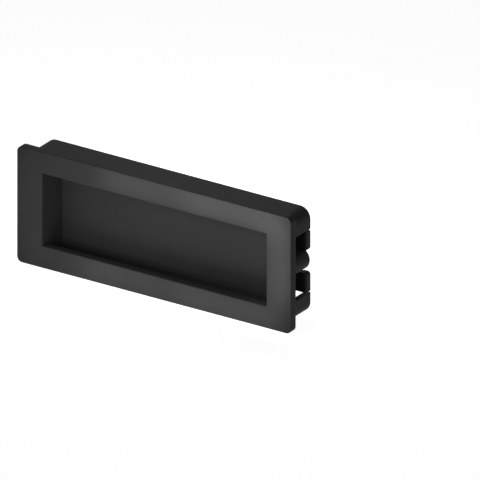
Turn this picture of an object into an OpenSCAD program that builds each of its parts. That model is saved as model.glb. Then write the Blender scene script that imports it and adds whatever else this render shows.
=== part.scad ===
// Recessed pull handle: one moulded housing with two threaded inserts pressed in from behind.
// The origin is the centre of the panel seat, which is the back face of the flange.
// +X runs along the handle, +Y goes into the panel and +Z is up. Sizes are in millimetres.

/* [Finger opening] */
// Length of the finger opening
opening_w = 90; // [70:1:160]
// Height of the finger opening
opening_h = 26.5; // [24:0.5:40]
// Radius of the opening's front edge, which fingers and palm run over
opening_edge_r = 0.5; // [0.2:0.1:1.5]
// How far the pocket reaches up and down behind the lip, so that fingers can hook in
undercut = 4; // [2:0.25:8]

/* [Flange] */
// Thickness of the flange, which is also the thickness of the gripping lip
flange_t = 3; // [2:0.1:5]
// How far the flange covers the panel past the skirt, all round
overhang = 2; // [1:0.25:6]
// Corner radius of the flange
flange_r = 2; // [0.5:0.25:6]

/* [Skirt and floor] */
// Depth of the skirt behind the flange
skirt_depth = 12; // [11:0.5:30]
// Thickness of the skirt's walls
wall = 2; // [1.2:0.1:2.6]
// Corner radius of the skirt's outside
skirt_r = 4; // [3:0.25:5]
// Thickness of the wall that closes each end of the pocket
end_wall = 2; // [1.2:0.1:3]
// Thickness of the pocket's floor
floor_t = 2.8; // [2.6:0.1:4]

/* [Rear tabs] */
// Height of the tab that carries the floor out past each boss to the end face
tab_h = 22.2; // [20:0.2:27]
// Gap between a tab and the skirt's corners
tab_slit = 0.5; // [0.3:0.1:1]
// Radius on the front edge of each tab's outer end
tab_edge_r = 0.8; // [0.3:0.1:1.5]
// Gap round the boss where the tab is cut away for it
relief_gap = 0.4; // [0.3:0.1:1]
// Depth of that cut-away where it runs into the floor and the end wall
relief_depth = 2.2; // [1:0.1:2.3]
// Radius of the corners where the cut-away opens to the end of the tab
mouth_r = 1.1; // [0.4:0.1:2]
// Diameter of the ejector mark on each tab
mark_d = 4.4; // [3:0.2:5]
// Depth of the ejector mark
mark_depth = 0.12; // [0.05:0.01:0.3]
// Flat left between the ejector mark and the tab's upper edge
mark_margin = 0.5; // [0.3:0.1:1]

/* [Insert bosses] */
// Plastic round each insert
boss_wall = 1; // [0.8:0.1:2]
// Plastic left between each insert and the pocket
insert_skin = 0.75; // [0.5:0.05:2]
// How far each boss stays inside the skirt's end face
boss_inset = 0.25; // [0:0.05:1]
// How far each boss ends short of the rear face
boss_recess = 0.2; // [0.1:0.1:1]
// Chamfer on the outer edge of each boss's end
boss_chamfer = 0.3; // [0.1:0.1:0.6]
// Radius where each boss runs into the flange
boss_foot_r = 0.6; // [0.3:0.1:1]
// Depth of the core hole past the insert
core_extra = 3; // [1:0.5:3]
// Diameter of the core hole past the insert
core_d = 4.6; // [4.2:0.1:5.4]

/* [Threaded inserts] */
// Outside diameter of each insert
insert_d = 6; // [5.8:0.1:8]
// Length of each insert
insert_len = 8; // [6:0.5:10]
// Bore of each insert, the minor diameter of its thread
thread_bore_d = 3.3; // [2.5:0.1:3.5]
// Diameter at the top of the bore's countersinks
mouth_d = 4.4; // [4:0.1:5]
// Number of knurl grooves round each insert
knurl_count = 24; // [12:1:28]
// Depth of the knurl grooves
knurl_depth = 0.3; // [0.1:0.05:0.35]
// Length of the plain waist between the two knurled bands
waist_len = 1.2; // [0.6:0.1:2]
// Depth of the waist below the knurl's crests
waist_depth = 0.5; // [0.4:0.05:0.6]
// Length of the plain rim at the insert's rear end
rim_len = 0.6; // [0.3:0.1:1]
// Length of the tapered lead at the insert's inner end
lead_len = 0.6; // [0.3:0.1:1]
// How much smaller in radius the lead is at its tip
lead_taper = 0.4; // [0.1:0.1:0.6]

/* [Hidden] */
$fn = 96;

// Extra length that carries a cut clear of the surface it starts from
cut_past = 1;

boss_d = insert_d + 2 * boss_wall;
insert_x = opening_w / 2 + insert_skin + insert_d / 2;
skirt_w = 2 * (insert_x + boss_d / 2 + boss_inset);
pocket_h = opening_h + 2 * undercut;
skirt_h = pocket_h + 2 * wall;
flange_w = skirt_w + 2 * overhang;
flange_h = skirt_h + 2 * overhang;

front_y = -flange_t;
floor_y = skirt_depth - floor_t;
boss_end_y = skirt_depth - boss_recess;
core_end_y = boss_end_y - insert_len - core_extra;
insert_start_y = boss_end_y - insert_len;

window_h = tab_h + 2 * tab_slit;
chamber_x = opening_w / 2 + end_wall;
mark_z = tab_h / 2 - mark_margin - mark_d / 2;
countersink = (mouth_d - thread_bore_d) / 2;
band_len = (insert_len - lead_len - waist_len - rim_len) / 2;

// Extrudes an outline drawn in X and Z from one depth to another along Y
module along_y(from, to) {
    translate([0, to, 0]) rotate([90, 0, 0]) linear_extrude(height = to - from) children();
}

// Outline with round corners, centred on the axis
module rounded_rect(w, h, r) {
    square([w - 2 * r, h], center = true);
    square([w, h - 2 * r], center = true);
    for (sx = [-1, 1], sy = [-1, 1]) {
        translate([sx * (w / 2 - r), sy * (h / 2 - r)]) circle(r);
    }
}

// Section of a slot whose mouth has rounded edges, with its depth along +Y from the front face
module rounded_mouth_section(w, depth) {
    translate([-w / 2, -cut_past]) square([w, depth + cut_past]);
    for (side = [-1, 1]) {
        difference() {
            translate([side * (w / 2 + opening_edge_r / 2), (opening_edge_r - cut_past) / 2])
                square([opening_edge_r, opening_edge_r + cut_past], center = true);
            translate([side * (w / 2 + opening_edge_r), opening_edge_r]) circle(opening_edge_r);
        }
    }
}

// The finger opening through the flange, its front edge rounded all round
module finger_opening() {
    depth = flange_t + cut_past;
    translate([0, front_y, 0]) intersection() {
        linear_extrude(height = flange_h, center = true) rounded_mouth_section(opening_w, depth);
        rotate([0, 90, 0])
            linear_extrude(height = flange_w, center = true) rounded_mouth_section(opening_h, depth);
    }
}

// Hollow behind the lip, wider than the opening above and below
module pocket() {
    along_y(0, floor_y) square([opening_w, pocket_h], center = true);
}

// Outline of an end chamber, between the pocket's end wall and the skirt
module chamber_outline() {
    intersection() {
        rounded_rect(skirt_w - 2 * wall, pocket_h, skirt_r - wall);
        translate([chamber_x, -pocket_h / 2]) square([skirt_w, pocket_h]);
    }
}

// End chamber, open at the back beside the tab and through the window in the skirt's end
module end_chamber() {
    along_y(0, skirt_depth + cut_past) {
        chamber_outline();
        translate([chamber_x, -window_h / 2]) square([skirt_w / 2 - chamber_x + cut_past, window_h]);
    }
}

// Tab that carries the floor out to the skirt's end face, its front edge rounded there
module tab() {
    end_x = skirt_w / 2;
    linear_extrude(height = tab_h, center = true) {
        translate([opening_w / 2, floor_y]) square([end_x - opening_w / 2 - tab_edge_r, floor_t]);
        translate([opening_w / 2, floor_y + tab_edge_r])
            square([end_x - opening_w / 2, floor_t - tab_edge_r]);
        translate([end_x - tab_edge_r, floor_y + tab_edge_r]) circle(tab_edge_r);
    }
}

// Boss for an insert, standing on the flange, with a rounded foot and a chamfered end
module boss() {
    r = boss_d / 2;
    intersection() {
        translate([insert_x, 0, 0]) rotate([-90, 0, 0]) rotate_extrude() difference() {
            polygon([
                [0, -flange_t / 2],
                [r + boss_foot_r, -flange_t / 2],
                [r + boss_foot_r, 0],
                [r, boss_foot_r],
                [r, boss_end_y - boss_chamfer],
                [r - boss_chamfer, boss_end_y],
                [0, boss_end_y]
            ]);
            translate([r + boss_foot_r, boss_foot_r]) circle(boss_foot_r);
        }
        along_y(-flange_t, skirt_depth) translate([opening_w / 2, -pocket_h / 2])
            square([(skirt_w - opening_w) / 2 + boss_foot_r, pocket_h]);
    }
}

// Hole in a boss: the seat of the insert, then a narrower core hole
module insert_hole() {
    translate([insert_x, 0, 0]) rotate([-90, 0, 0]) {
        translate([0, 0, insert_start_y]) cylinder(d = insert_d, h = insert_len + cut_past);
        translate([0, 0, core_end_y]) cylinder(d = core_d, h = insert_start_y - core_end_y + cut_past);
    }
}

// Outline cut away round a boss, open towards the tab's end through a mouth with round corners
module relief_outline() {
    mouth = boss_d / 2;
    end_x = skirt_w / 2;
    difference() {
        union() {
            translate([insert_x, 0]) circle(boss_d / 2 + relief_gap);
            translate([insert_x, -mouth]) square([end_x - insert_x + cut_past, 2 * mouth]);
            for (side = [-1, 1]) {
                difference() {
                    translate([end_x + (cut_past - mouth_r) / 2, side * (mouth + mouth_r / 2)])
                        square([mouth_r + cut_past, mouth_r], center = true);
                    translate([end_x - mouth_r, side * (mouth + mouth_r)]) circle(mouth_r);
                }
            }
        }
        translate([insert_x, 0]) circle(boss_d / 2);
    }
}

// Relief round a boss: right through the tab, and a blind groove in the floor and the end wall
module boss_relief() {
    along_y(skirt_depth - relief_depth, skirt_depth + cut_past) relief_outline();
    along_y(floor_y - cut_past, skirt_depth + cut_past) intersection() {
        relief_outline();
        translate([chamber_x, -skirt_h / 2]) square([skirt_w / 2, skirt_h]);
    }
}

// Shallow round mark that the mould's ejector pin leaves on the tab
module ejector_mark() {
    along_y(skirt_depth - mark_depth, skirt_depth + cut_past)
        translate([insert_x, mark_z]) circle(d = mark_d);
}

// Makes a child at the right-hand end and its mirror image at the left
module both_ends() {
    children();
    mirror([1, 0, 0]) children();
}

// The whole moulding: flange, skirt, floor, tabs and bosses
module housing() {
    color([0.13, 0.13, 0.14]) difference() {
        union() {
            along_y(front_y, 0) rounded_rect(flange_w, flange_h, flange_r);
            difference() {
                along_y(-flange_t / 2, skirt_depth) rounded_rect(skirt_w, skirt_h, skirt_r);
                both_ends() end_chamber();
            }
            both_ends() tab();
            both_ends() boss();
        }
        finger_opening();
        pocket();
        both_ends() boss_relief();
        both_ends() insert_hole();
        both_ends() ejector_mark();
    }
}

// Half section of an insert, with its radius along X and its inner end at Y = 0
module insert_section() {
    r = insert_d / 2;
    bore_r = thread_bore_d / 2;
    waist_start = lead_len + band_len;
    polygon([
        [bore_r + countersink, 0],
        [r - lead_taper, 0],
        [r, lead_len],
        [r, waist_start],
        [r - waist_depth, waist_start],
        [r - waist_depth, waist_start + waist_len],
        [r, waist_start + waist_len],
        [r, insert_len],
        [bore_r + countersink, insert_len],
        [bore_r, insert_len - countersink],
        [bore_r, countersink]
    ]);
}

// Straight V grooves through both knurled bands, up to the rim
module knurl_grooves() {
    root_r = insert_d / 2 - knurl_depth;
    out = knurl_depth + cut_past;
    for (turn = [0 : 360 / knurl_count : 359]) {
        rotate([0, 0, turn]) translate([root_r, 0, -cut_past])
            linear_extrude(height = insert_len - rim_len + cut_past)
                polygon([[0, 0], [out, -out], [out, out]]);
    }
}

// Turned and knurled insert, its rear face level with the boss's end
module insert_body() {
    translate([insert_x, insert_start_y, 0]) rotate([-90, 0, 0]) difference() {
        rotate_extrude() insert_section();
        knurl_grooves();
    }
}

module insert_left() {
    color([0.78, 0.60, 0.30]) mirror([1, 0, 0]) insert_body();
}

module insert_right() {
    color([0.78, 0.60, 0.30]) insert_body();
}

housing();
insert_left();
insert_right();
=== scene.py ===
import math

import bmesh
import bpy
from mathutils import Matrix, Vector


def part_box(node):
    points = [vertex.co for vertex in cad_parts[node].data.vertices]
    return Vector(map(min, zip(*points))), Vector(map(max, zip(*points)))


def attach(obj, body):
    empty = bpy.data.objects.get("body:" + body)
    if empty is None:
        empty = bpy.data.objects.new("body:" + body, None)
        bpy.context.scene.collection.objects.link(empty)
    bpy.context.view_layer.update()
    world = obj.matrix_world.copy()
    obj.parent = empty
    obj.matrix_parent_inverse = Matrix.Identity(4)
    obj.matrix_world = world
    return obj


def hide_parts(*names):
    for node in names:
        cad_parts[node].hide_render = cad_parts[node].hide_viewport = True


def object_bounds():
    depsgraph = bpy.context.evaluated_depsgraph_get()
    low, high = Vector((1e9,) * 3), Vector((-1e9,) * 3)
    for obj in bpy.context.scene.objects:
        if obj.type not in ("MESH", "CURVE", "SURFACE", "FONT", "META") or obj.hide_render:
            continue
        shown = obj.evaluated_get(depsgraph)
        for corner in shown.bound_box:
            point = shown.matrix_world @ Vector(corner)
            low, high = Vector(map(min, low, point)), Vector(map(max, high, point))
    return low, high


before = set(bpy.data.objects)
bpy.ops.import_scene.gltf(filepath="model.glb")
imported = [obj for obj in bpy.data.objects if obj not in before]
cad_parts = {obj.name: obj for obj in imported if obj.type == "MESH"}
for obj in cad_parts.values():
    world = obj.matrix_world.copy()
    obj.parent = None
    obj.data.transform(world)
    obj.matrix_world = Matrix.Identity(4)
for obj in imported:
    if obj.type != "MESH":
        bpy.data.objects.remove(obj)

# A recessed pull handle: one black moulding with two brass M4 inserts pressed in from behind.
# Lengths are in metres. +X runs along the handle, +Y goes into the panel and +Z is up.

cad_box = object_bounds()
scene = bpy.context.scene
scene.view_settings.view_transform = "Standard"

MM = 0.001
WHITE = (1, 1, 1, 1)

# Moulding: what joins the CAD's loose triangles to whole faces, and how edges are rounded
TRIANGLE_WELD = 0.003 * MM
SAME_PLANE_ANGLE = math.radians(0.5)
SHARP_ANGLE = math.radians(35)
MOULDING_EDGE = 0.12 * MM
MOULDING_EDGE_STEPS = 2
ROUNDING_WELD = 0.001 * MM
FLAT_FACE_WEIGHT = 100
WIDE_FACE = 0.15 * MM
TILT_ANGLE = math.radians(5)

# Threaded insert, from its inner end at 0 to its rear face
INSERT_R = 3.0 * MM
INSERT_LENGTH = 8.0 * MM
BORE_R = 1.65 * MM
COUNTERSINK = 0.55 * MM
LEAD_LENGTH = 0.6 * MM
LEAD_TAPER = 0.4 * MM
BAND_LENGTH = 2.8 * MM
WAIST_LENGTH = 1.2 * MM
WAIST_DEPTH = 0.5 * MM
RIM_LENGTH = 0.6 * MM
INSERT_EDGE = 0.06 * MM
INSERT_EDGE_STEPS = 3
INSERT_SHARP_ANGLE = math.radians(25)
REVOLVE_STEPS = 96

# Knurl of the inserts: V grooves, each cut by the corner of a square bar
KNURLS = 24
KNURL_DEPTH = 0.3 * MM
KNURL_BAR = 0.5 * MM
KNURL_BAR_TURN = math.radians(45)
KNURL_RUN_IN = 1 * MM

# Thread of the inserts. The pitch is eight times the crest's width. The tap that cuts it
# starts ahead of the insert and has turns to spare past it
THREAD_PITCH = 0.7 * MM
THREAD_MAJOR_R = 2.0 * MM
THREAD_CUT_FROM_R = 1.5 * MM
THREAD_FLANK_ANGLE = math.radians(30)
PITCH_TO_CREST = 8.0
THREAD_STEPS = 48
TAP_RUN_IN_TURNS = 2
TAP_TURNS = 15
TAP_WELD = 0.002 * MM

# Points across one pitch of the thread. The crest lies between the third and the fourth
PROFILE_POINTS = 5
CREST_MIDDLE = 2.5

# Range that most of a noise pattern's values fall in
NOISE_LOW, NOISE_HIGH = 0.3, 0.7

# Moulded plastic
PLASTIC_DARKER = (0.046, 0.046, 0.047)
PLASTIC_LIGHTER = (0.053, 0.053, 0.054)
FLOW_SIZE = 9 * MM
GRAIN_SIZE = 0.22 * MM
GRAIN_DEPTH = 0.012 * MM

# Turned brass. The scale of the marks puts their rings about 0.16 mm apart
BRASS_CLEAN = (0.5, 0.34, 0.16)
BRASS_TARNISHED = (0.36, 0.24, 0.11)
# Painted shade: a darker brown that stands in for the shadow inside the bore
BRASS_PAINTED_BORE_SHADE = (0.24, 0.15, 0.07)
TARNISH_SIZE = 1.6 * MM
MARKS_SCALE = 2000
MARKS_DEPTH = 0.006 * MM

# Studio. What is seen of it turns from white to grey between two heights, as sines of the
# angle above level
STUDIO_LEVEL = 0.08
SEEN_OVERHEAD = 0.3
WHITE_BELOW = 0.05
GREY_ABOVE = 0.35
FLOOR_COLOUR = (0.8, 0.8, 0.8, 1)
FLOOR_LIFT = 0.9
FLOOR_GAP = 0.02 * MM
FLOOR_REACH = 3.0

# Camera. The picture's middle lies to the right of the middle of the handle's front face
AZIMUTH = 33.44
ELEVATION = 24.03
PICTURE_WIDTH = 160.86 * MM
RIGHT_OF_FACE = 28.83 * MM
CAMERA_DISTANCE = 0.6
CLIP_START, CLIP_END = 0.01, 10


def feed(tree, socket, value):
    """Gives a socket a plain value, or links another socket to it."""
    if isinstance(value, bpy.types.NodeSocket):
        tree.links.new(value, socket)
    else:
        socket.default_value = value


def add_node(tree, kind, settings=None, **inputs):
    """Adds a node with its settings and inputs. An underscore in an input's name is a space."""
    made = tree.nodes.new(kind)
    for key, value in (settings or {}).items():
        setattr(made, key, value)
    for key, value in inputs.items():
        feed(tree, made.inputs[key.replace("_", " ")], value)
    return made


# Meshes


def new_piece(name, mesh):
    piece = bpy.data.objects.new(name, mesh)
    scene.collection.objects.link(piece)
    return piece


def as_plain_mesh(piece):
    """Keeps what the piece's modifiers make as its own mesh, and takes the modifiers off."""
    depsgraph = bpy.context.evaluated_depsgraph_get()
    mesh = bpy.data.meshes.new_from_object(piece.evaluated_get(depsgraph))
    piece.modifiers.clear()
    piece.data = mesh
    mesh.name = piece.name


def shade_by_angle(mesh, angle):
    """Shades the mesh smooth, apart from edges that turn by more than the angle."""
    mesh.shade_smooth()
    mesh.set_sharp_from_angle(angle=angle)


def keep_wide_faces_flat(mesh):
    """Gives a wide face its own normal at any corner where the end of a rounding tilts it."""
    normals = [corner.vector.copy() for corner in mesh.corner_normals]
    for face in mesh.polygons:
        outline = [mesh.vertices[v].co for v in face.vertices]
        around = sum((a - b).length for a, b in zip(outline, outline[1:] + outline[:1]))
        if face.area < WIDE_FACE * around / 2:
            continue
        for corner in face.loop_indices:
            if normals[corner].angle(face.normal) > TILT_ANGLE:
                normals[corner] = face.normal.copy()
    mesh.normals_split_custom_set(normals)


def moulding():
    """The housing's own shape, with every outer edge rounded a little as a moulding's are."""
    mesh = bpy.data.meshes.new("housing_moulding")
    bm = bmesh.new()
    bm.from_mesh(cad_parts["housing"].data)
    bmesh.ops.remove_doubles(bm, verts=bm.verts, dist=TRIANGLE_WELD)
    bmesh.ops.dissolve_limit(bm, angle_limit=SAME_PLANE_ANGLE, verts=bm.verts, edges=bm.edges)
    rounding = bm.edges.layers.float.new("bevel_weight_edge")
    for side in bm.edges:
        if side.calc_face_angle_signed(0) > SHARP_ANGLE:
            side[rounding] = 1
    bm.to_mesh(mesh)
    bm.free()
    shade_by_angle(mesh, SHARP_ANGLE)
    piece = new_piece("housing_moulding", mesh)
    edge = piece.modifiers.new("edge rounding", "BEVEL")
    edge.width = MOULDING_EDGE
    edge.segments = MOULDING_EDGE_STEPS
    edge.limit_method = "WEIGHT"
    edge.use_clamp_overlap = False
    weld = piece.modifiers.new("one point where roundings meet", "WELD")
    weld.merge_threshold = ROUNDING_WELD
    flat = piece.modifiers.new("flat faces stay flat", "WEIGHTED_NORMAL")
    flat.weight = FLAT_FACE_WEIGHT
    flat.keep_sharp = True
    as_plain_mesh(piece)
    keep_wide_faces_flat(piece.data)
    return piece


def rounded_corners(outline, radius, steps):
    """A closed outline with each corner that has a radius turned into an arc of a few points."""
    made = []
    for i, (point, r) in enumerate(zip(outline, radius)):
        here = Vector(point)
        if r == 0:
            made.append(here)
            continue
        back = (Vector(outline[i - 1]) - here).normalized()
        ahead = (Vector(outline[(i + 1) % len(outline)]) - here).normalized()
        half = back.angle(ahead) / 2
        centre = here + (back + ahead).normalized() * (r / math.sin(half))
        start = here + back * (r / math.tan(half)) - centre
        end = here + ahead * (r / math.tan(half)) - centre
        for step in range(steps + 1):
            made.append(centre + start.lerp(end, step / steps).normalized() * r)
    return made


def insert_blank(name, axis_x, inner_end):
    """The turned blank of an insert: its outline, swept round its axis.

    A point of the outline is its radius, its length from the inner end and its rounding.
    """
    band_end = LEAD_LENGTH + BAND_LENGTH
    waist_end = band_end + WAIST_LENGTH
    mouth_r = BORE_R + COUNTERSINK
    outline = [
        (mouth_r, 0, INSERT_EDGE),
        (INSERT_R - LEAD_TAPER, 0, INSERT_EDGE),
        (INSERT_R, LEAD_LENGTH, 0),
        (INSERT_R, band_end, INSERT_EDGE),
        (INSERT_R - WAIST_DEPTH, band_end, 0),
        (INSERT_R - WAIST_DEPTH, waist_end, 0),
        (INSERT_R, waist_end, INSERT_EDGE),
        (INSERT_R, INSERT_LENGTH, INSERT_EDGE),
        (mouth_r, INSERT_LENGTH, INSERT_EDGE),
        (BORE_R, INSERT_LENGTH - COUNTERSINK, 0),
        (BORE_R, COUNTERSINK, 0),
    ]
    section = rounded_corners([p[:2] for p in outline], [p[2] for p in outline],
                              INSERT_EDGE_STEPS)
    bm = bmesh.new()
    rings = []
    for step in range(REVOLVE_STEPS):
        turn = math.tau * (step + 0.5) / REVOLVE_STEPS
        rings.append([bm.verts.new((axis_x + p[0] * math.cos(turn), inner_end + p[1],
                                    p[0] * math.sin(turn))) for p in section])
    for ring, following in zip(rings, rings[1:] + rings[:1]):
        for i in range(len(section)):
            j = (i + 1) % len(section)
            bm.faces.new((ring[i], ring[j], following[j], following[i]))
    bmesh.ops.recalc_face_normals(bm, faces=bm.faces)
    mesh = bpy.data.meshes.new(name)
    bm.to_mesh(mesh)
    bm.free()
    return new_piece(name, mesh)


# Geometry Nodes: what repeats round an insert or winds along its bore


class Tree:
    """A Geometry Nodes tree with named inputs, built a node at a time."""

    def __init__(self, name, inputs):
        self.group = bpy.data.node_groups.new(name, "GeometryNodeTree")
        sockets = self.group.interface
        for way in ("OUTPUT", "INPUT"):
            sockets.new_socket("Geometry", in_out=way, socket_type="NodeSocketGeometry")
        self.identifiers = {}
        for label, kind in inputs:
            socket = sockets.new_socket(label, in_out="INPUT", socket_type=kind)
            self.identifiers[label] = socket.identifier
        self.start = self.group.nodes.new("NodeGroupInput")
        self.end = self.group.nodes.new("NodeGroupOutput")

    def given(self, label):
        return self.start.outputs[label]

    def feed(self, socket, value):
        feed(self.group, socket, value)

    def node(self, kind, settings=None, **inputs):
        return add_node(self.group, kind, settings, **inputs)

    def math(self, operation, *values):
        made = self.node("ShaderNodeMath", {"operation": operation})
        for socket, value in zip(made.inputs, values):
            self.feed(socket, value)
        return made.outputs[0]

    def point(self, x, y, z):
        return self.node("ShaderNodeCombineXYZ", X=x, Y=y, Z=z).outputs[0]

    def round_axis(self, radius, angle):
        """X and Z of a point at this radius and angle from the tree's own axis along Y."""
        out = self.math("MULTIPLY", radius, self.math("COSINE", angle))
        down = self.math("SINE", self.math("MULTIPLY", angle, -1.0))
        return self.math("ADD", self.given("Axis"), out), self.math("MULTIPLY", radius, down)

    def put_on(self, piece, **values):
        modifier = piece.modifiers.new(self.group.name, "NODES")
        modifier.node_group = self.group
        for label, value in values.items():
            modifier[self.identifiers[label.replace("_", " ")]] = value


def thread_profile(tree, along, root_r, crest_r, pitch):
    """Radius and rise of one of the points across a thread of 60 degrees."""
    depth = tree.math("SUBTRACT", crest_r, root_r)
    flank = tree.math("MULTIPLY", depth, math.tan(THREAD_FLANK_ANGLE))
    crest = tree.math("DIVIDE", pitch, PITCH_TO_CREST)
    flanks = tree.math("MULTIPLY", flank, 2.0)
    root = tree.math("SUBTRACT", tree.math("SUBTRACT", pitch, flanks), crest)
    up = tree.math("ADD", root, flank)
    rises = (0.0, root, up, tree.math("ADD", up, crest), pitch)
    switch = tree.node("GeometryNodeIndexSwitch", {"data_type": "FLOAT"})
    while len(switch.index_switch_items) < len(rises):
        switch.index_switch_items.new()
    tree.feed(switch.inputs["Index"], along)
    for number, rise in enumerate(rises):
        tree.feed(switch.inputs[number + 1], rise)
    from_middle = tree.math("ABSOLUTE", tree.math("SUBTRACT", along, CREST_MIDDLE))
    on_crest = tree.math("LESS_THAN", from_middle, 1.0)
    gain = tree.math("MULTIPLY", depth, on_crest)
    return tree.math("ADD", root_r, gain), switch.outputs[0]


def thread_tap(tree):
    """A closed tap with a right-hand thread along Y, wound from a strip one pitch wide."""
    pitch, start, steps = tree.given("Pitch"), tree.given("Tap start"), tree.given("Steps")
    around = tree.math("MULTIPLY", tree.given("Turns"), steps)
    strip = tree.node("GeometryNodeMeshGrid", Vertices_X=tree.math("ADD", around, 1.0),
                      Vertices_Y=PROFILE_POINTS)
    index = tree.node("GeometryNodeInputIndex").outputs[0]
    in_step = tree.math("DIVIDE", tree.math("ADD", index, 0.5), PROFILE_POINTS)
    step = tree.math("FLOOR", in_step)
    across = tree.math("SUBTRACT", index, tree.math("MULTIPLY", step, PROFILE_POINTS))
    radius, rise = thread_profile(tree, across, tree.given("Cut from radius"),
                                  tree.given("Major radius"), pitch)
    turns = tree.math("DIVIDE", step, steps)
    x, z = tree.round_axis(radius, tree.math("MULTIPLY", turns, math.tau))
    height = tree.math("ADD", tree.math("ADD", start, rise),
                       tree.math("MULTIPLY", turns, pitch))
    wound = tree.node("GeometryNodeSetPosition", Geometry=strip.outputs["Mesh"],
                      Position=tree.point(x, height, z))
    tube = tree.node("GeometryNodeMergeByDistance", Geometry=wound.outputs[0],
                     Distance=TAP_WELD)
    faces = tree.node("GeometryNodeInputMeshEdgeNeighbors").outputs[0]
    rim = tree.node("FunctionNodeCompare", {"data_type": "INT", "operation": "EQUAL"})
    tree.feed(rim.inputs[2], faces)
    tree.feed(rim.inputs[3], 1)
    ends = tree.node("GeometryNodeExtrudeMesh", {"mode": "EDGES"}, Mesh=tube.outputs[0],
                     Selection=rim.outputs[0], Offset_Scale=0.0)
    place = tree.node("GeometryNodeInputPosition").outputs[0]
    own_y = tree.node("ShaderNodeSeparateXYZ", Vector=place).outputs["Y"]
    length = tree.math("MULTIPLY", tree.given("Turns"), pitch)
    middle = tree.math("ADD", start, tree.math("MULTIPLY", length, 0.5))
    far = tree.math("GREATER_THAN", own_y, middle)
    near_tip = tree.math("ADD", start, tree.math("MULTIPLY", pitch, 0.5))
    tip = tree.math("ADD", near_tip, tree.math("MULTIPLY", far, length))
    closed = tree.node("GeometryNodeSetPosition", Geometry=ends.outputs["Mesh"],
                       Selection=ends.outputs["Top"],
                       Position=tree.point(tree.given("Axis"), tip, 0.0))
    return tree.node("GeometryNodeMergeByDistance", Geometry=closed.outputs[0],
                     Distance=TAP_WELD).outputs[0]


def knurl_cutters(tree):
    """Square bars round the insert, each with a corner turned to the axis to cut a V groove."""
    points = tree.node("GeometryNodePoints", Count=tree.given("Knurls"))
    index = tree.node("GeometryNodeInputIndex").outputs[0]
    angle = tree.math("MULTIPLY", tree.math("DIVIDE", index, tree.given("Knurls")), math.tau)
    ring_r = tree.math("ADD", tree.given("Knurl root radius"), KNURL_BAR / math.sqrt(2))
    x, z = tree.round_axis(ring_r, angle)
    bar_length = tree.math("SUBTRACT", tree.given("Knurl end"), tree.given("Knurl start"))
    middle = tree.math("ADD", tree.given("Knurl start"), tree.math("MULTIPLY", bar_length, 0.5))
    tree.feed(points.inputs["Position"], tree.point(x, middle, z))
    bar = tree.node("GeometryNodeMeshCube", Size=tree.point(KNURL_BAR, bar_length, KNURL_BAR))
    turn = tree.math("ADD", angle, KNURL_BAR_TURN)
    turned = tree.node("FunctionNodeEulerToRotation", Euler=tree.point(0.0, turn, 0.0))
    bars = tree.node("GeometryNodeInstanceOnPoints", Points=points.outputs[0],
                     Instance=bar.outputs["Mesh"], Rotation=turned.outputs[0])
    return tree.node("GeometryNodeRealizeInstances", Geometry=bars.outputs[0]).outputs[0]


def insert_machining():
    """The tree that knurls the blank's outside and taps its bore."""
    length, count = "NodeSocketFloat", "NodeSocketInt"
    tree = Tree("insert machining", [
        ("Axis", length), ("Pitch", length), ("Major radius", length),
        ("Cut from radius", length), ("Tap start", length), ("Turns", count), ("Steps", count),
        ("Knurls", count), ("Knurl root radius", length), ("Knurl start", length),
        ("Knurl end", length), ("Material", "NodeSocketMaterial"),
    ])
    work = tree.given("Geometry")
    for cutter in (knurl_cutters(tree), thread_tap(tree)):
        cut = tree.node("GeometryNodeMeshBoolean",
                        {"operation": "DIFFERENCE", "solver": "EXACT"})
        tree.feed(cut.inputs[0], work)
        tree.feed(cut.inputs[1], cutter)
        work = cut.outputs[0]
    real = tree.node("GeometryNodeRealizeInstances", Geometry=work)
    finish = tree.node("GeometryNodeSetMaterial", Geometry=real.outputs[0],
                       Material=tree.given("Material"))
    tree.feed(tree.end.inputs[0], finish.outputs[0])
    return tree


def threaded_insert(name, axis_x, inner_end, machining, material):
    """An insert's blank with its knurl and its thread cut."""
    piece = insert_blank(name, axis_x, inner_end)
    piece.data.materials.append(material)
    machining.put_on(
        piece, Axis=axis_x, Pitch=THREAD_PITCH, Major_radius=THREAD_MAJOR_R,
        Cut_from_radius=THREAD_CUT_FROM_R,
        Tap_start=inner_end - TAP_RUN_IN_TURNS * THREAD_PITCH, Turns=TAP_TURNS,
        Steps=THREAD_STEPS, Knurls=KNURLS, Knurl_root_radius=INSERT_R - KNURL_DEPTH,
        Knurl_start=inner_end - KNURL_RUN_IN,
        Knurl_end=inner_end + INSERT_LENGTH - RIM_LENGTH, Material=material)
    as_plain_mesh(piece)
    shade_by_angle(piece.data, INSERT_SHARP_ANGLE)
    return piece


# Materials


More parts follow.
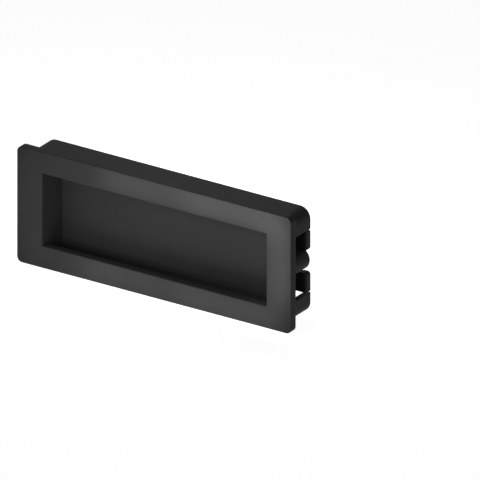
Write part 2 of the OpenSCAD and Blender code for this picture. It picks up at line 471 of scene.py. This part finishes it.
class Finish:
    """A material whose Principled shader is fed from patterns on Object coordinates."""

    def __init__(self, name):
        self.material = bpy.data.materials.new(name)
        self.material.use_nodes = True
        self.tree = self.material.node_tree
        self.shader = self.tree.nodes["Principled BSDF"]
        self.place = self.node("ShaderNodeTexCoord").outputs["Object"]

    def node(self, kind, settings=None, **inputs):
        return add_node(self.tree, kind, settings, **inputs)

    def noise(self, size, detail, roughness=0.5):
        """Noise whose features are about size metres across."""
        return self.node("ShaderNodeTexNoise", Vector=self.place, Scale=1 / size, Detail=detail,
                         Roughness=roughness).outputs[0]

    def spread(self, value, low, high):
        """Maps a pattern's middle range onto low to high."""
        return self.node("ShaderNodeMapRange", Value=value, From_Min=NOISE_LOW,
                         From_Max=NOISE_HIGH, To_Min=low, To_Max=high).outputs[0]

    def between(self, share, first, second):
        """Mixes two colours, each of them plain or a pattern's own."""
        mix = self.node("ShaderNodeMix", {"data_type": "RGBA"})
        feed(self.tree, mix.inputs[0], share)
        for socket, colour in ((mix.inputs[6], first), (mix.inputs[7], second)):
            plain = isinstance(colour, tuple)
            feed(self.tree, socket, (*colour, 1) if plain else colour)
        return mix.outputs[2]

    def bump(self, height, depth, strength):
        return self.node("ShaderNodeBump", Height=height, Distance=depth,
                         Strength=strength).outputs[0]

    def set(self, **inputs):
        for key, value in inputs.items():
            feed(self.tree, self.shader.inputs[key.replace("_", " ")], value)


def black_moulded_plastic():
    """Matt black plastic with the fine grain of a textured mould and faint flow in its colour."""
    finish = Finish("black_moulded_plastic")
    flow = finish.noise(FLOW_SIZE, detail=3)
    grain = finish.noise(GRAIN_SIZE, detail=2)
    finish.set(
        Base_Color=finish.between(flow, PLASTIC_DARKER, PLASTIC_LIGHTER),
        Roughness=finish.spread(grain, 0.56, 0.64),
        Specular_IOR_Level=0.08,
        Normal=finish.bump(grain, GRAIN_DEPTH, strength=0.35),
    )
    return finish.material


def turned_brass(name, axis_x):
    """Bare brass with fine turning marks round the insert's axis, and painted shade: darker brown
    in the bore.
    """
    finish = Finish(name)
    centred = finish.node("ShaderNodeMapping", Vector=finish.place,
                          Location=(-axis_x, 0, 0)).outputs[0]
    marks = finish.node("ShaderNodeTexWave",
                        {"wave_type": "RINGS", "rings_direction": "Y", "wave_profile": "SIN"},
                        Vector=centred, Scale=MARKS_SCALE, Distortion=0.6,
                        Detail=2.0).outputs[1]
    tarnish = finish.noise(TARNISH_SIZE, detail=4, roughness=0.6)
    off_axis = finish.node("ShaderNodeMapping", Vector=centred, Scale=(1, 0, 1)).outputs[0]
    radius = finish.node("ShaderNodeVectorMath", {"operation": "LENGTH"},
                         Vector=off_axis).outputs[1]
    # Painted shade: fades to the darker brown across the countersink and into the bore, where
    # shadow falls
    bore = finish.node("ShaderNodeMapRange", Value=radius, From_Min=BORE_R + COUNTERSINK,
                       From_Max=BORE_R + COUNTERSINK / 2).outputs[0]
    outside = finish.between(finish.spread(tarnish, 0, 1), BRASS_CLEAN, BRASS_TARNISHED)
    finish.set(
        Base_Color=finish.between(bore, outside, BRASS_PAINTED_BORE_SHADE),
        Metallic=1.0,
        Roughness=finish.spread(tarnish, 0.24, 0.38),
        Normal=finish.bump(marks, MARKS_DEPTH, strength=0.3),
    )
    return finish.material


# The handle

plastic = black_moulded_plastic()
housing = moulding()
housing.data.materials.clear()
housing.data.materials.append(plastic)
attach(housing, "root")
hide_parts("housing")

machining = insert_machining()
for side in ("left", "right"):
    node = "insert_" + side
    low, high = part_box(node)
    axis_x = (low.x + high.x) / 2
    brass = turned_brass("turned_brass_" + side, axis_x)
    insert = threaded_insert("threaded_" + node, axis_x, low.y, machining, brass)
    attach(insert, "root")
    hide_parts(node)


# Floor, light and camera


def shown_white(tree, dim, bright):
    """Mixes to the bright shader for what the camera sees, straight or in gloss and glass."""
    path = add_node(tree, "ShaderNodeLightPath")
    seen = path.outputs["Is Camera Ray"]
    for other in ("Is Glossy Ray", "Is Transmission Ray"):
        either = add_node(tree, "ShaderNodeMath", {"operation": "MAXIMUM"})
        feed(tree, either.inputs[0], seen)
        feed(tree, either.inputs[1], path.outputs[other])
        seen = either.outputs[0]
    mix = add_node(tree, "ShaderNodeMixShader")
    for socket, value in zip(mix.inputs, (seen, dim, bright)):
        feed(tree, socket, value)
    return mix.outputs[0]


def studio_world(level, overhead):
    """Even light of this level. What is seen of it is white low down and greyer overhead."""
    world = bpy.data.worlds.new("studio")
    world.use_nodes = True
    tree = world.node_tree
    dim = tree.nodes["Background"]
    feed(tree, dim.inputs["Color"], WHITE)
    feed(tree, dim.inputs["Strength"], level)
    way = add_node(tree, "ShaderNodeTexCoord").outputs["Generated"]
    rise = add_node(tree, "ShaderNodeSeparateXYZ", Vector=way).outputs["Z"]
    fade = add_node(tree, "ShaderNodeMapRange", Value=rise, From_Min=WHITE_BELOW,
                    From_Max=GREY_ABOVE, To_Min=1, To_Max=overhead).outputs[0]
    bright = add_node(tree, "ShaderNodeBackground", Color=WHITE, Strength=fade)
    feed(tree, tree.nodes["World Output"].inputs["Surface"],
         shown_white(tree, dim.outputs[0], bright.outputs[0]))
    scene.world = world


def pale_floor(height):
    """A wide floor that is seen nearly white and keeps the handle's shadow."""
    bm = bmesh.new()
    bmesh.ops.create_grid(bm, x_segments=1, y_segments=1, size=FLOOR_REACH)
    bmesh.ops.translate(bm, verts=bm.verts, vec=(0, 0, height))
    mesh = bpy.data.meshes.new("floor")
    bm.to_mesh(mesh)
    bm.free()
    floor = new_piece("floor", mesh)
    finish = bpy.data.materials.new("pale_floor")
    finish.use_nodes = True
    tree = finish.node_tree
    tree.nodes.remove(tree.nodes["Principled BSDF"])
    matt = add_node(tree, "ShaderNodeBsdfDiffuse", Color=FLOOR_COLOUR)
    lift = add_node(tree, "ShaderNodeEmission", Strength=FLOOR_LIFT)
    bright = add_node(tree, "ShaderNodeAddShader")
    feed(tree, bright.inputs[0], matt.outputs[0])
    feed(tree, bright.inputs[1], lift.outputs[0])
    feed(tree, tree.nodes["Material Output"].inputs["Surface"],
         shown_white(tree, matt.outputs[0], bright.outputs[0]))
    mesh.materials.append(finish)


def soft_light(name, place, aim, width, height, level):
    """A soft light turned to its aim, unseen by the camera.

    At level 1 a small one shows a colour at its aim as it is written. One that is long for
    its distance gives less than its level.
    """
    lamp = bpy.data.lights.new(name, "AREA")
    lamp.shape = "RECTANGLE"
    lamp.size = width
    lamp.size_y = height
    away = Vector(place) - Vector(aim)
    lamp.energy = level * math.pi * math.pi * away.length_squared
    light = bpy.data.objects.new(name, lamp)
    light.location = place
    light.rotation_mode = "QUATERNION"
    light.rotation_quaternion = away.to_track_quat("Z", "Y")
    light.visible_camera = False
    scene.collection.objects.link(light)


def light_from_front(name, along, up, ahead, width, height, level):
    """A soft light ahead of the panel's face, turned straight to it."""
    soft_light(name, (along, -ahead, up), (along, 0, up), width, height, level)


def parallel_camera(centre, azimuth, elevation, width):
    """A camera without perspective, turned from the front to the right and raised."""
    turn, rise = math.radians(azimuth), math.radians(elevation)
    back = Vector((math.sin(turn) * math.cos(rise), -math.cos(turn) * math.cos(rise),
                   math.sin(rise)))
    lens = bpy.data.cameras.new("camera")
    lens.type = "ORTHO"
    lens.ortho_scale = width
    lens.clip_start = CLIP_START
    lens.clip_end = CLIP_END
    camera = bpy.data.objects.new("camera", lens)
    camera.location = centre + back * CAMERA_DISTANCE
    camera.rotation_mode = "QUATERNION"
    camera.rotation_quaternion = (-back).to_track_quat("-Z", "Y")
    scene.collection.objects.link(camera)
    scene.camera = camera


studio_world(STUDIO_LEVEL, SEEN_OVERHEAD)
pale_floor(cad_box[0].z - FLOOR_GAP)

# A light's place and aim, or how far along, up and ahead it is, then its width and height
# and its level. The strips shade the border of the front face, each its own stretch of it.
soft_light("overhead light", (-30 * MM, 60 * MM, 120 * MM), (-10 * MM, 5 * MM, 20 * MM),
           50 * MM, 50 * MM, 0.33)
light_from_front("front light", -20 * MM, 0, 45 * MM, 60 * MM, 20 * MM, 0.53)
light_from_front("left strip", -50 * MM, 0, 14 * MM, 5 * MM, 50 * MM, 0.3)
light_from_front("upper left strip", -20 * MM, 18 * MM, 11 * MM, 50 * MM, 4 * MM, 0.36)
light_from_front("upper strip", 14 * MM, 18 * MM, 10 * MM, 70 * MM, 4 * MM, 2.3)
light_from_front("upper right strip", 30 * MM, 18 * MM, 12 * MM, 40 * MM, 4 * MM, 1.25)
light_from_front("lower left strip", -35 * MM, -17.5 * MM, 11 * MM, 30 * MM, 4 * MM, 0.15)
light_from_front("lower strip", 10 * MM, -17 * MM, 12 * MM, 80 * MM, 5 * MM, 1.7)
light_from_front("lower right strip", 30 * MM, -17.5 * MM, 10 * MM, 40 * MM, 4 * MM, 0.56)
light_from_front("right strip", 50 * MM, 5 * MM, 11 * MM, 4 * MM, 32 * MM, 1.75)
soft_light("back light", (0, 140 * MM, -2 * MM), (0, 15 * MM, 0), 160 * MM, 35 * MM, 0.55)

across = Vector((math.cos(math.radians(AZIMUTH)), math.sin(math.radians(AZIMUTH)), 0))
parallel_camera(Vector((0, cad_box[0].y, 0)) + across * RIGHT_OF_FACE, AZIMUTH, ELEVATION,
                PICTURE_WIDTH)
